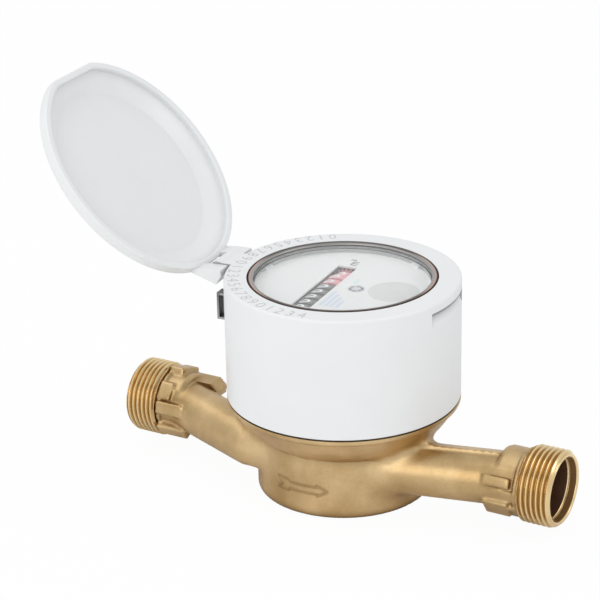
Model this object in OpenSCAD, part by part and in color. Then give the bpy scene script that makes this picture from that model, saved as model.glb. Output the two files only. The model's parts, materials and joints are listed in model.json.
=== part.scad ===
// Single-jet cold water meter with a dry register under a hinged lid.
// Millimetres, +Z up, origin at the middle of the base, water flows towards +X.

/* [Connections] */
// Overall length between the two threaded ends
meter_l = 165; // [150:1:190]
// Height of the pipe axis above the base
pipe_z = 15.5; // [14.5:0.1:17]
// Outside diameter of the threaded ends
thread_d = 26.44; // [25.5:0.01:27.5]
// Length of each threaded end
thread_l = 12; // [10:0.5:14]
// Chamfer on the nose of each threaded end
thread_chamfer = 1.2; // [0.5:0.1:2]
// Diameter of the gasket seat in each mouth
mouth_d = 20.2; // [19:0.1:21]
// Depth of the gasket seat in each mouth
mouth_depth = 3; // [2:0.1:5]
// Bore behind each mouth
bore_d = 18.4; // [16:0.1:18.8]
// Depth of that bore from the end of the thread
bore_depth = 14; // [13:0.5:16]

/* [Casting] */
// Outside diameter of the bowl
bowl_d = 60; // [56:0.5:63]
// Rounding around the foot of the bowl
foot_round = 2.4; // [1:0.1:4]
// Height of the step where the flare begins
step_z = 21; // [19:0.1:22]
// Overhang of the flare at that step
step_w = 2.2; // [1:0.1:3]
// Height where the flare meets the rim
flare_top_z = 31.4; // [30:0.1:32.4]
// Outside diameter of the rim under the housing
rim_d = 78; // [76:0.1:79]
// Height of the rim, where the housing stands
rim_z = 33.4; // [32.8:0.1:35]
// Height of the spigot that centres the housing
spigot_h = 3; // [2:0.1:5]
// Diameter of the collar behind each thread
collar_d = 21.6; // [20.5:0.1:22.5]
// Length of that collar
collar_l = 8.5; // [7:0.1:12]
// Length of the wrench lugs beside the collar
lug_l = 10; // [8:0.1:12]
// Radius over the wrench lugs
lug_r = 12; // [11.4:0.05:12.6]
// Gap between the wrench lugs and the thread
lug_gap = 2.8; // [1:0.1:4]
// Diameter of the inlet neck at its collar
inlet_neck_d = 19; // [17:0.1:19.6]
// Diameter of the inlet neck at the bowl
inlet_bowl_d = 17; // [15:0.1:18]
// Angle by which the inlet neck turns to the side of the bowl
inlet_skew = 21; // [18:0.5:23]
// Length of the straight run of the inlet neck
inlet_run = 45; // [40:0.5:48]
// Diameter of the outlet neck at its collar
outlet_neck_d = 17.8; // [16:0.1:19.6]
// Diameter of the outlet neck at the bowl
outlet_bowl_d = 16.8; // [15:0.1:18]
// Angle by which the outlet neck turns to the side of the bowl
outlet_skew = 14.2; // [11:0.1:17]
// Height of the parting ridge on the outlet neck
ridge_h = 0.6; // [0.3:0.1:1]
// Length of the sealing lug behind the inlet neck
seal_lug_l = 14; // [10:0.5:18]
// Height of the top of the sealing lug above the pipe axis
seal_lug_h = 8.6; // [7:0.1:10]

/* [Measuring chamber] */
// Diameter of the impeller chamber
chamber_d = 48; // [44:0.5:50]
// Thickness of the chamber floor
floor_t = 4.5; // [3.5:0.1:5.5]
// Height of the seat of the pressure plate
seat_z = 23; // [22.6:0.1:24]
// Diameter of that seat
seat_d = 59; // [58:0.1:60]
// Diameter of the water passages in the necks
port_d = 12.4; // [10:0.1:13]
// Diameter of the jet where the water enters the chamber
jet_d = 9; // [7:0.1:9.6]
// Distance of the water jet from the middle of the chamber
jet_offset = 17.4; // [16:0.1:18.5]
// Diameter of the impeller
impeller_d = 43; // [38:0.5:45]
// Number of vanes on the impeller
vane_count = 7; // [5:1:9]
// Thickness of a vane
vane_t = 1.2; // [0.8:0.1:1.8]
// Diameter of the impeller's pivots
pivot_d = 1.6; // [1.2:0.1:2]
// Outside diameter of the two coupling magnets
magnet_d = 16; // [12:0.5:18]
// Thickness of the pressure plate
plate_t = 3; // [2.6:0.1:3.6]
// Height of the ring that clamps the pressure plate
clamp_h = 4; // [3:0.1:5]

/* [Register] */
// Outside diameter of the copper can
can_d = 64; // [62:0.5:66]
// Wall of the copper can
can_wall = 0.8; // [0.6:0.1:1.2]
// Thickness of the window glass
glass_t = 3.2; // [2.5:0.1:4]
// Width of the lip that is crimped over the glass
lip_w = 2; // [1.4:0.1:2.6]
// Thickness of the crimped lip
lip_t = 0.9; // [0.6:0.1:1.2]
// Depth of the dial below the glass
dial_gap = 1.3; // [1:0.1:2]
// Thickness of the dial plate
dial_t = 0.6; // [0.5:0.1:0.8]
// Thickness of the plates that carry the gears
gear_plate_t = 1.6; // [1.2:0.1:2.4]
// Module of the spur gears
gear_m = 0.4; // [0.36:0.01:0.42]
// Teeth on each pinion of the gear train
pinion_z = 10; // [10:1:11]
// Teeth on the first gear
gear_1_z = 48; // [46:1:50]
// Teeth on the second gear
gear_2_z = 46; // [44:1:48]
// Teeth on the third gear
gear_3_z = 44; // [42:1:45]
// Teeth on the gear of the flow star
star_gear_z = 20; // [18:1:22]
// Width of the gears
gear_w = 2; // [1.4:0.1:2.2]
// Radius of the gear shafts
shaft_r = 0.6; // [0.5:0.05:0.7]

/* [Counter] */
// Number of number rollers
roller_count = 8; // [8:1:8]
// Diameter of a number roller
roller_d = 13.2; // [12.6:0.1:13.4]
// Spacing of the number rollers
roller_pitch = 4.75; // [4.6:0.05:4.85]
// Distance of the roller axis from the middle of the dial
roller_x = 5; // [4.6:0.1:5.4]
// Place of the middle of the counter along its own axis
stack_y = -3.7; // [-4.4:0.1:-3]
// Radius of the roller shaft
roller_shaft_r = 1; // [0.8:0.05:1.2]
// Module of the carry gears
carry_m = 0.6; // [0.58:0.01:0.6]
// Teeth on the gear of each roller
carry_z = 20; // [20:1:20]
// Teeth on each carry pinion
carry_pinion_z = 8; // [8:1:8]
// Module of the crown drive
crown_m = 0.5; // [0.48:0.01:0.5]
// Teeth on the crown wheel
crown_z = 10; // [10:1:10]
// Teeth on the gear that the crown wheel drives
crown_gear_z = 28; // [28:1:28]
// Width of the roller window in the dial
window_w = 7; // [5:0.1:7.4]

/* [Housing] */
// Turn of the register and the housing on the casting
head_turn = 4.5; // [-20:0.5:20]
// Outside diameter of the housing
housing_d = 80; // [79.5:0.1:84]
// Height of the top of the housing above the base
housing_top = 76.2; // [74:0.1:79]
// Wall of the housing
housing_wall = 3; // [2.4:0.1:3.4]
// Thickness of the top of the housing
housing_cap_t = 2.5; // [2:0.1:3.5]
// Rounding of the top edge of the housing
housing_round = 0.9; // [0.4:0.1:1.6]
// Width of the thumb recess
thumb_w = 26; // [16:0.5:30]
// Depth of the thumb recess at its upper edge
thumb_depth = 2; // [1:0.1:2.2]
// Distance of the thumb recess from the top of the housing
thumb_drop = 3; // [2:0.1:5]
// Height over which the thumb recess fades out
thumb_h = 5; // [3:0.5:14]
// Distance of the locking clip from the top of the housing
clip_drop = 7.4; // [7.2:0.1:9]
// Height of the locking clip
clip_h = 9.6; // [7:0.1:11]
// Width of the locking clip
clip_w = 4; // [3:0.1:5]
// Distance that the locking clip stands off the housing
clip_proud = 2.4; // [1.6:0.1:3]

/* [Lid] */
// Outside diameter of the lid
lid_d = 82.8; // [80:0.1:86]
// Height of the lid from its rim to its top
lid_h = 7; // [6.4:0.1:8]
// Height of the lid's skirt
skirt_h = 3.8; // [3.4:0.1:4.4]
// Thickness of the lid's plate
lid_t = 1.7; // [1.2:0.1:2.2]
// Width of the lid's skirt
skirt_w = 2.3; // [2:0.1:2.7]
// Width of the sloping band inside the skirt
lid_band_w = 7; // [6:0.1:9]
// Depth of the lid where that band meets the skirt
well_h = 2.2; // [1.6:0.1:2.6]
// Width of the thumb flat on the lid's edge
lid_flat_w = 24; // [16:0.5:26]
// Angle between the closed lid and the open lid
lid_open = 130.5; // [100:0.5:138]
// Width of the hinge
hinge_w = 24; // [20:0.5:28]
// Width of the housing's knuckle in the middle of the hinge
hinge_mid_w = 11; // [10.5:0.5:13]
// Radius of the housing's knuckle
knuckle_r = 2.8; // [2.4:0.1:2.8]
// Least distance of the hinge axis outside the housing's wall
hinge_out = 4.4; // [4.2:0.1:4.6]
// Least distance of the hinge axis from the edge of the lid
hinge_edge = 3; // [2.6:0.1:3.6]
// Distance of the hinge axis below the top of the housing
hinge_drop = 2.5; // [2.4:0.1:2.8]
// Radius of the hinge pin
hinge_pin_r = 1; // [0.8:0.05:1.2]

/* [Fits] */
// Radial clearance of pins and shafts that turn
running = 0.05; // [0.03:0.01:0.08]
// Clearance between pieces that pass each other
clear = 0.3; // [0.2:0.05:0.4]
// Clearance of pieces that are pushed together
seat_fit = 0.1; // [0.05:0.01:0.2]

/* [Hidden] */
$fn = 96;

// Casting, worked out from the sizes above
end_x = meter_l / 2;
thread_x = end_x - thread_l;
thread_r = thread_d / 2;
collar_x = thread_x - collar_l;
collar_r = collar_d / 2;
bowl_r = bowl_d / 2;
rim_r = rim_d / 2;
chamber_r = chamber_d / 2;
port_r = port_d / 2;
inlet_from = [-thread_x, 0];
inlet_bend = inlet_from + inlet_run * [cos(inlet_skew), -sin(inlet_skew)];
inlet_to = [-0.75 * jet_offset, -jet_offset];
jet_from = inlet_from + (inlet_run - 4) * [cos(inlet_skew), -sin(inlet_skew)];
outlet_run = (thread_x - 0.85 * chamber_r) / cos(outlet_skew);
outlet_from = [thread_x, 0];
outlet_to = outlet_from - outlet_run * [cos(outlet_skew), sin(outlet_skew)];
bend_swell = 0.15;
// Angle round the pipe, width and radius of each wrench lug and of the panels between them
wrench_lugs = [[166, 4.2, lug_r], [218, 7.4, lug_r + 0.3], [14, 4.2, lug_r], [322, 7.4, lug_r + 0.3]];
wrench_panels = [[191, 5], [349, 5]];
panel_r = collar_r + 0.35;

// Levels of the stack above the chamber
clamp_z = seat_z + plate_t;
can_z = clamp_z + clamp_h;
can_r = can_d / 2;
can_in = can_r - can_wall;
lip_z = housing_top - lip_t;
gasket_t = 0.8;
glass_r = can_in - gasket_t - seat_fit;
glass_z = lip_z - glass_t;
dial_z = glass_z - dial_gap;
dial_low = dial_z - dial_t;
base_z = can_z + can_wall;
base_top = base_z + gear_plate_t;
impeller_low = floor_t + 1.5;
impeller_top = seat_z - 1.5;
pivot_r = pivot_d / 2;
hub_r = 4;
magnet_r = magnet_d / 2;
magnet_h = 4.5;
bearing_depth = 3;

// Gear train: each pinion drives the next gear, and the last shaft carries the crown wheel
crown_r = crown_m * crown_z / 2;
crown_gear_r = crown_m * crown_gear_z / 2;
roller_r = roller_d / 2;
roller_z = dial_low - clear - crown_gear_r - 0.8 * crown_m;
roller_w = roller_pitch - clear;
stack_half = roller_count * roller_pitch / 2;
crown_gear_w = 1;
crown_gear_y = stack_y + stack_half + clear;
crown_y = crown_gear_y + crown_gear_w / 2 - crown_r;
pinion_r = gear_m * pinion_z / 2;
gear_1_r = gear_m * gear_1_z / 2;
gear_2_r = gear_m * gear_2_z / 2;
gear_3_r = gear_m * gear_3_z / 2;
shaft_3 = [-roller_x, crown_y];
shaft_2_turn = 0;
shaft_2 = shaft_3 + (pinion_r + gear_3_r) * [cos(shaft_2_turn), sin(shaft_2_turn)];
shaft_1 = third_corner([0, 0], shaft_2, pinion_r + gear_1_r, pinion_r + gear_2_r);
train_shafts = [[0, 0], shaft_1, shaft_2, shaft_3];
star_turn = -17;
star_at = (pinion_r + gear_m * star_gear_z / 2) * [cos(star_turn), sin(star_turn)];
follower_z = base_top + clear;
level_1 = follower_z + magnet_h + 1;
level_2 = level_1 + gear_w + 1.5;
level_3 = level_2 + gear_w + 1.5;
crown_tip = roller_z - roller_r - clear;
crown_h = 0.9;
bridge_top = crown_tip - crown_h - 1.6;
bridge_low = bridge_top - gear_plate_t;
star_level = bridge_top + clear;
carry_turn = 225;
carry_far = carry_m * (carry_z + carry_pinion_z) / 2;
carry_x = -roller_x + carry_far * cos(carry_turn);
carry_level = roller_z + carry_far * sin(carry_turn);
carry_w = 0.8;
carry_gear_w = 1.2;
carry_shaft_r = 0.5;
frame_t = 1.2;
frame_near = stack_y - stack_half - clear - frame_t;
frame_far = crown_gear_y + crown_gear_w + clear;

// Housing, clip and lid
housing_r = housing_d / 2;
housing_in = housing_r - housing_wall;
opening_r = can_r + clear;
lid_r = lid_d / 2;
hinge_x = -max(housing_r + hinge_out, lid_r + hinge_edge);
hinge_z = housing_top - hinge_drop;
clip_y = -12;
clip_t = 0.8;
clip_top = housing_top - clip_drop;
clip_wall_x = -sqrt(housing_r * housing_r - clip_y * clip_y);
clip_leg = 1.2;
arm_r = hinge_out + 0.1;
pin_stop = hinge_w / 2 - 1.2;
lid_low = housing_top + clear;
lid_top = lid_low + lid_h;

// Where two circles about a and b meet, on the right of the way from a to b
function third_corner(a, b, ra, rb) =
    let (
        d = norm(b - a),
        u = (b - a) / d,
        along = (ra * ra - rb * rb + d * d) / (2 * d),
        off = sqrt(ra * ra - along * along)
    ) a + along * u + off * [u[1], -u[0]];

// Register, housing and lid stand turned on the casting
module on_head() {
    rotate(head_turn) children();
}

function heading(d) = atan2(d[1], d[0]);

function arc(c, r, from, to, steps = 8) =
    [for (i = [0:steps]) let (t = from + (to - from) * i / steps) c + r * [cos(t), sin(t)]];

// Turn that puts a tooth of a pinion, and a gap of the gear that it drives, on their common line
function tooth_to(a, b) = heading(b - a);
function gap_to(a, b, teeth) = heading(b - a) + 180 / teeth;

// Outline of a spur gear with slack teeth
module gear_outline(m, teeth) {
    pitch = 360 / teeth;
    root = m * teeth / 2 - 1.15 * m;
    tip = m * teeth / 2 + 0.8 * m;
    polygon([
        for (i = [0:teeth - 1])
            for (p = [[root, -0.27], [tip, -0.1], [tip, 0.1], [root, 0.27]])
                p[0] * [cos((i + p[1]) * pitch), sin((i + p[1]) * pitch)]
    ]);
}

module spur_gear(m, teeth, h, turn = 0) {
    rotate(turn) linear_extrude(h) gear_outline(m, teeth);
}

module tube(r_out, r_in, h) {
    difference() {
        cylinder(r = r_out, h = h);
        translate([0, 0, -1]) cylinder(r = r_in, h = h + 2);
    }
}

// A round bar between two points at the height of the pipe axis
module pipe_run(a, b, r_a, r_b) {
    translate([a[0], a[1], pipe_z])
        rotate([0, 90, heading(b - a)])
            cylinder(h = norm(b - a), r1 = r_a, r2 = r_b);
}

module along_x(x = 0) {
    translate([x, 0, pipe_z]) rotate([0, 90, 0]) children();
}

module bowl_form() {
    foot = [bowl_r - foot_round, foot_round];
    rotate_extrude()
        polygon(concat(
            [[0, 0]],
            arc(foot, foot_round, -90, 0),
            [
                [bowl_r, step_z - step_w], [bowl_r + step_w, step_z],
                [rim_r, flare_top_z], [rim_r, rim_z],
                [housing_in - clear, rim_z], [housing_in - clear, rim_z + spigot_h],
                [0, rim_z + spigot_h]
            ]
        ));
}

// Thread, collar and wrench lugs of the end at +X
module pipe_end() {
    runout = 0.9;
    along_x()
        rotate_extrude()
            polygon([
                [0, collar_x], [collar_r, collar_x], [collar_r, thread_x],
                [thread_r - runout, thread_x], [thread_r, thread_x + runout],
                [thread_r, end_x - thread_chamfer], [thread_r - thread_chamfer, end_x], [0, end_x]
            ]);
    lug_far = thread_x - lug_gap;
    for (lug = wrench_lugs)
        wrench_block(lug[0], lug[1], lug[2], lug_far - lug_l, lug_far);
    for (panel = wrench_panels)
        wrench_block(panel[0], panel[1], panel_r, lug_far - lug_l + 3.5, thread_x);
}

module wrench_block(turn, w, r, from, to) {
    translate([from, 0, pipe_z])
        rotate([turn, 0, 0])
            translate([0, collar_r / 2, -w / 2])
                cube([to - from, r - collar_r / 2, w]);
}

module seal_lug() {
    left = -collar_x - 4;
    top = pipe_z + seal_lug_h;
    right = left + seal_lug_l;
    nose = 2.6;
    translate([0, 8, 0])
        rotate([90, 0, 0])
            linear_extrude(7)
                polygon([
                    [left, pipe_z], [left, top], [right - nose, top],
                    [right, top - nose], [right - 0.6, top - 2 * nose], [right - 2 * nose, pipe_z]
                ]);
}

// Ridge left by the casting's parting line along the top of the outlet neck
module parting_ridge() {
    w = 7;
    top = outlet_bowl_d / 2 + ridge_h;
    translate([outlet_to[0], outlet_to[1], pipe_z])
        rotate([0, 0, outlet_skew])
            rotate([-18, 0, 0])
                translate([0, -w / 2, 0])
                    cube([outlet_run - collar_l, w, top]);
}

module meter_body() {
    color("#c4a06a")
        difference() {
            union() {
                bowl_form();
                pipe_end();
                mirror([1, 0, 0]) pipe_end();
                pipe_run(inlet_from, inlet_bend, inlet_neck_d / 2, inlet_bowl_d / 2);
                translate([inlet_bend[0], inlet_bend[1], pipe_z]) sphere(r = inlet_bowl_d / 2 + bend_swell);
                pipe_run(inlet_bend, inlet_to, inlet_bowl_d / 2, inlet_bowl_d / 2);
                pipe_run(outlet_to, outlet_from, outlet_bowl_d / 2, outlet_neck_d / 2);
                parting_ridge();
                seal_lug();
            }
            chamber();
            mouth();
            mirror([1, 0, 0]) mouth();
            pipe_run(inlet_from, inlet_bend, port_r, port_r);
            pipe_run(jet_from, inlet_to, jet_d / 2, jet_d / 2);
            pipe_run(outlet_to, outlet_from, port_r, port_r);
            translate([0, 0, floor_t - bearing_depth]) cylinder(r = pivot_r, h = bearing_depth + 1);
        }
}

// Chamber of the impeller, seat of the pressure plate and well of the register can
module chamber() {
    top = rim_z + spigot_h + 1;
    rotate_extrude()
        polygon([
            [0, floor_t], [chamber_r, floor_t], [chamber_r, seat_z], [seat_d / 2, seat_z],
            [seat_d / 2, can_z - clear], [can_r + 2, can_z - clear], [can_r + 2, top], [0, top]
        ]);
}

module mouth() {
    along_x(end_x - mouth_depth) cylinder(r = mouth_d / 2, h = mouth_depth + 1);
    along_x(end_x - bore_depth) cylinder(r = bore_d / 2, h = bore_depth);
}

// Thimble strainer that is pushed into the inlet
module inlet_strainer() {
    flange = 1.2;
    wall = 1;
    r = bore_d / 2 - seat_fit;
    l = bore_depth - mouth_depth - 1;
    color("#2f3236")
        translate([-end_x + mouth_depth, 0, pipe_z])
            rotate([0, 90, 0])
                difference() {
                    union() {
                        translate([0, 0, -flange]) cylinder(r = mouth_d / 2 - seat_fit, h = flange);
                        cylinder(r = r, h = l);
                    }
                    translate([0, 0, -flange - 1]) cylinder(r = r - wall, h = l + flange + 1 - wall);
                    for (i = [0:7])
                        rotate(i * 45) translate([0, -1, 2]) cube([r + 1, 2, l - 4]);
                    for (i = [0:5])
                        rotate(i * 60) translate([r / 2, 0, l - 2]) cylinder(r = 1.6, h = 3);
                }
}

module pivot_pin() {
    r = pivot_r - 0.02;
    stem = impeller_low - floor_t + 2 * bearing_depth - clear - pivot_r;
    color("#b9bcc0")
        translate([0, 0, floor_t - bearing_depth]) {
            cylinder(r = r, h = stem);
            translate([0, 0, stem]) sphere(r = r);
        }
}

module impeller() {
    magnet_low = impeller_top - magnet_h;
    rim = impeller_d / 2;
    color("#e8e8e4")
        difference() {
            union() {
                translate([0, 0, impeller_low]) cylinder(r = hub_r, h = impeller_top - impeller_low);
                translate([0, 0, magnet_low - 1.5]) cylinder(r = magnet_r + 0.6, h = 1.5);
                for (i = [0:vane_count - 1])
                    rotate([90, 0, i * 360 / vane_count])
                        translate([0, 0, -vane_t / 2])
                            linear_extrude(vane_t)
                                polygon([
                                    [hub_r - 1, impeller_low + 0.5], [rim, impeller_low + 0.5],
                                    [rim, impeller_top - 0.5], [magnet_r + 1, impeller_top - 0.5],
                                    [magnet_r + 1, magnet_low - 1], [hub_r - 1, magnet_low - 1]
                                ]);
            }
            translate([0, 0, impeller_low - 1]) cylinder(r = pivot_r + running, h = bearing_depth + 1);
            translate([0, 0, impeller_top - bearing_depth])
                cylinder(r = pivot_r + running, h = bearing_depth + 1);
        }
}

module drive_magnet() {
    color("#4a4a4e")
        translate([0, 0, impeller_top - magnet_h]) tube(magnet_r, hub_r + 0.02, magnet_h);
}

module pressure_plate() {
    groove = 1;
    color("#b08d57")
        union() {
            difference() {
                translate([0, 0, seat_z]) cylinder(r = seat_d / 2 - seat_fit, h = plate_t);
                translate([0, 0, seat_z + plate_t / 2 - groove])
                    tube(seat_d / 2 + 1, seat_d / 2 - seat_fit - 1.6, 2 * groove);
            }
            translate([0, 0, impeller_top - bearing_depth + clear])
                cylinder(r = pivot_r, h = seat_z - impeller_top + bearing_depth - clear + 0.5);
        }
}

module plate_seal() {
    ring_r = 0.8;
    color("#1d1d1f")
        translate([0, 0, seat_z + plate_t / 2])
            rotate_extrude()
                translate([seat_d / 2 - ring_r - 0.02, 0]) circle(r = ring_r);
}

// Ring that screws down on the pressure plate, with four notches for its key
module clamp_ring() {
    inner = chamber_r - 2;
    color("#b8965c")
        translate([0, 0, clamp_z])
            difference() {
                tube(seat_d / 2 - seat_fit, inner, clamp_h);
                for (i = [0:3])
                    rotate(i * 90 + 45) translate([inner - 1, -1.5, clamp_h - 1.5]) cube([4, 3, 3]);
            }
}

module register_can() {
    lip_in = can_r - lip_w;
    bead = lip_t / 2;
    color("#a5664a")
        rotate_extrude()
            polygon(concat(
                [[0, can_z], [can_r - 1, can_z], [can_r, can_z + 1]],
                arc([can_r - bead, housing_top - bead], bead, 0, 90, 5),
                arc([lip_in + bead, housing_top - bead], bead, 90, 270, 8),
                [[can_in, lip_z], [can_in, base_z], [0, base_z]]
            ));
}

module bearing_holes(shafts, from, h) {
    for (p = shafts)
        translate([p[0], p[1], from]) cylinder(r = shaft_r + running, h = h);
}

module register_base() {
    color("#d9dadb")
        difference() {
            translate([0, 0, base_z]) cylinder(r = can_in - clear, h = gear_plate_t);
            bearing_holes(train_shafts, base_z - 1, gear_plate_t + 2);
        }
}

module shaft_at(p, from, to, r = shaft_r) {
    translate([p[0], p[1], from]) cylinder(r = r, h = to - from);
}

// Shaft of the magnet above the plate, with the first pinion and the pinion of the flow star
module follower_shaft() {
    color("#e6e6e2") {
        shaft_at([0, 0], base_z + clear, star_level + gear_w + 0.5);
        translate([0, 0, level_1 - 0.5])
            spur_gear(gear_m, pinion_z, gear_w + 1, tooth_to([0, 0], shaft_1));
        translate([0, 0, star_level])
            spur_gear(gear_m, pinion_z, gear_w - 0.4, tooth_to([0, 0], star_at));
    }
}

module follower_magnet() {
    color("#4a4a4e")
        translate([0, 0, follower_z]) tube(magnet_r, shaft_r + 0.02, magnet_h);
}

// A gear with the pinion that drives the next gear
module gear_pair(p, level, teeth, turn, next_level, next_turn) {
    shaft_at(p, base_z + clear, bridge_top);
    translate([p[0], p[1], level]) spur_gear(gear_m, teeth, gear_w, turn);
    translate([p[0], p[1], level + gear_w / 2])
        spur_gear(gear_m, pinion_z, next_level + gear_w + 0.5 - level - gear_w / 2, next_turn);
}

module gear_1() {
    color("#e9e7df")
        gear_pair(
            shaft_1, level_1, gear_1_z, gap_to(shaft_1, [0, 0], gear_1_z),
            level_2, tooth_to(shaft_1, shaft_2)
        );
}

module gear_2() {
    color("#dfe3e6")
        gear_pair(
            shaft_2, level_2, gear_2_z, gap_to(shaft_2, shaft_1, gear_2_z),
            level_3, tooth_to(shaft_2, shaft_3)
        );
}

// Last gear of the train, with the crown wheel that drives the first roller
module gear_3() {
    tooth_w = 0.42;
    inner = crown_r - 0.75;
    color("#e9e7df") {
        shaft_at(shaft_3, base_z + clear, crown_tip - crown_h);
        translate([shaft_3[0], shaft_3[1], level_3])
            spur_gear(gear_m, gear_3_z, gear_w, gap_to(shaft_3, shaft_2, gear_3_z));
        translate([shaft_3[0], shaft_3[1], crown_tip - crown_h]) {
            translate([0, 0, -1]) cylinder(r = crown_r + 0.6, h = 1);
            for (i = [0:crown_z - 1])
                rotate(90 + i * 360 / crown_z)
                    translate([inner, -tooth_w / 2, -0.2]) cube([1.3, tooth_w, crown_h + 0.2]);
        }
    }
}

// Moulded frame: a plate on four legs over the gears, two cheeks that hold the shafts of the
// counter, and three posts under the dial
module counter_frame() {
    leg_r = 1.6;
    leg_at = can_in - clear - leg_r - 1;
    foot_w = 4;
    post_r = 1.5;
    color("#cfd2d4")
        difference() {
            union() {
                translate([0, 0, bridge_low]) cylinder(r = can_in - clear, h = gear_plate_t);
                for (t = [-20, 200, 248, 295])
                    rotate(t) translate([leg_at, 0, base_top])
                        cylinder(r = leg_r, h = bridge_top - base_top - gear_plate_t / 2);
                for (y = [frame_near, frame_far])
                    translate([carry_x - foot_w / 2, y, bridge_low])
                        cube([-roller_x - carry_x + foot_w + 2, frame_t, roller_z + 3 - bridge_low]);
                for (t = [-70, 0, 60])
                    rotate(t) translate([can_in - 5, 0, bridge_low])
                        cylinder(r = post_r, h = dial_low - bridge_low);
            }
            bearing_holes(concat(train_shafts, [star_at]), bridge_low - 1, gear_plate_t + 2);
            counter_axis(-roller_x, roller_z, roller_shaft_r);
            counter_axis(carry_x, carry_level, carry_shaft_r);
        }
}

// A round bar across the counter, from cheek to cheek
module counter_axis(x, z, r) {
    translate([x, frame_near, z]) rotate([-90, 0, 0]) cylinder(r = r, h = frame_far + frame_t - frame_near);
}

module roller_shaft() {
    color("#b9bcc0") counter_axis(-roller_x, roller_z, roller_shaft_r);
}

module carry_shaft() {
    color("#b9bcc0") counter_axis(carry_x, carry_level, carry_shaft_r);
}

// Number roller: the digit drum, its carry gear and, on the first one, the gear of the crown drive
module roller(i) {
    y = stack_y + stack_half - i * roller_pitch + clear / 2;
    color(i <= 3 ? "#c8344a" : "#1f2022")
        translate([-roller_x, y, roller_z])
            rotate([-90, 0, 0])
                difference() {
                    union() {
                        cylinder(r = roller_r, h = roller_w - carry_gear_w);
                        translate([0, 0, roller_w - carry_gear_w - 0.2])
                            spur_gear(carry_m, carry_z, carry_gear_w + 0.2, -carry_turn + 180 / carry_z);
                        if (i == 1) {
                            cylinder(r = 3, h = roller_w + clear + 0.5);
                            translate([0, 0, crown_gear_y - y])
                                spur_gear(crown_m, crown_gear_z, crown_gear_w, 90 + 180 / crown_gear_z);
                        }
                    }
                    translate([0, 0, -1]) cylinder(r = roller_shaft_r + running, h = roller_pitch + 4);
                }
}

module roller_1() roller(1);
module roller_2() roller(2);
module roller_3() roller(3);
module roller_4() roller(4);
module roller_5() roller(5);
module roller_6() roller(6);
module roller_7() roller(7);
module roller_8() roller(8);

// Carry pinion between roller i and the next one up
module carry(i) {
    y = stack_y + stack_half - i * roller_pitch - carry_gear_w / 2 - carry_w / 2;
    color("#e9e7df")
        translate([carry_x, y, carry_level])
            rotate([-90, 0, 0])
                difference() {
                    spur_gear(carry_m, carry_pinion_z, carry_w, -carry_turn + 180);
                    translate([0, 0, -1]) cylinder(r = carry_shaft_r + running, h = carry_w + 2);
                }
}

module carry_1() carry(1);
module carry_2() carry(2);
module carry_3() carry(3);
module carry_4() carry(4);
module carry_5() carry(5);
module carry_6() carry(6);
module carry_7() carry(7);

// Star under a hole in the dial that shows the smallest flow
module flow_star() {
    points = 6;
    tip = 2.3;
    color("#b8bcc2")
        translate([star_at[0], star_at[1], star_level]) {
            spur_gear(gear_m, star_gear_z, gear_w - 0.4, gap_to(star_at, [0, 0], star_gear_z));
            translate([0, 0, bridge_low - star_level]) cylinder(r = shaft_r, h = dial_z - bridge_low);
            translate([0, 0, dial_low - star_level])
                linear_extrude(dial_t)
                    polygon([
                        for (i = [0:2 * points - 1])
                            (i % 2 == 0 ? tip : 0.55 * tip) * [cos(180 * i / points), sin(180 * i / points)]
                    ]);
        }
}

module dial_plate() {
    star_hole = 2.3 + clear;
    tab_h = glass_z - dial_z - seat_fit;
    color("#f2f3f2")
        union() {
            difference() {
                translate([0, 0, dial_low]) cylinder(r = can_in - seat_fit, h = dial_t);
                translate([-roller_x - window_w / 2, stack_y - stack_half, dial_low - 1])
                    cube([window_w, 2 * stack_half, dial_t + 2]);
                translate([star_at[0], star_at[1], dial_low - 1]) cylinder(r = star_hole, h = dial_t + 2);
            }
            for (t = [55, 175, 295])
                rotate(t) translate([glass_r - 1.9, -1.9, dial_low]) cube([1.2, 3.8, dial_t + tab_h]);
        }
}

// Rubber ring of L section round the edge of the glass, standing on the rim of the dial
module glass_gasket() {
    ledge = 0.6;
    color("#8d9092")
        rotate_extrude()
            polygon([
                [glass_r - ledge, dial_z], [can_in - seat_fit, dial_z], [can_in - seat_fit, lip_z],
                [glass_r, lip_z], [glass_r, glass_z], [glass_r - ledge, glass_z]
            ]);
}

module register_glass() {
    color("#dfeaee", 0.35)
        translate([0, 0, glass_z]) cylinder(r = glass_r - 0.02, h = glass_t);
}

module housing_shell() {
    edge = [housing_r - housing_round, housing_top - housing_round];
    foot = 0.4;
    rotate_extrude()
        polygon(concat(
            [[housing_in, rim_z], [housing_r - foot - 1, rim_z], [housing_r - foot - 1, rim_z + foot]],
            [[housing_r - foot, rim_z + foot], [housing_r, rim_z + 2 * foot]],
            arc(edge, housing_round, 0, 90, 6),
            [
                [opening_r, housing_top], [opening_r, housing_top - housing_cap_t],
                [housing_in, housing_top - housing_cap_t]
            ]
        ));
}

// Scoop round the wall that lets a thumb under the lid's edge
module thumb_recess() {
    top = housing_top - thumb_drop;
    out = housing_r + 2;
    half = asin(thumb_w / housing_d);
    intersection() {
        rotate_extrude()
            polygon([
                [housing_r - thumb_depth, top], [out, top],
                [out, top - thumb_h], [housing_r, top - thumb_h]
            ]);
        translate([0, 0, top - thumb_h - 1])
            linear_extrude(thumb_h + 2)
                polygon([[0, 0], [2 * out, -2 * out * tan(half)], [2 * out, 2 * out * tan(half)]]);
    }
}

module hinge_bar(from, to, r) {
    translate([hinge_x, from, hinge_z]) rotate([-90, 0, 0]) cylinder(r = r, h = to - from);
}

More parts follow.
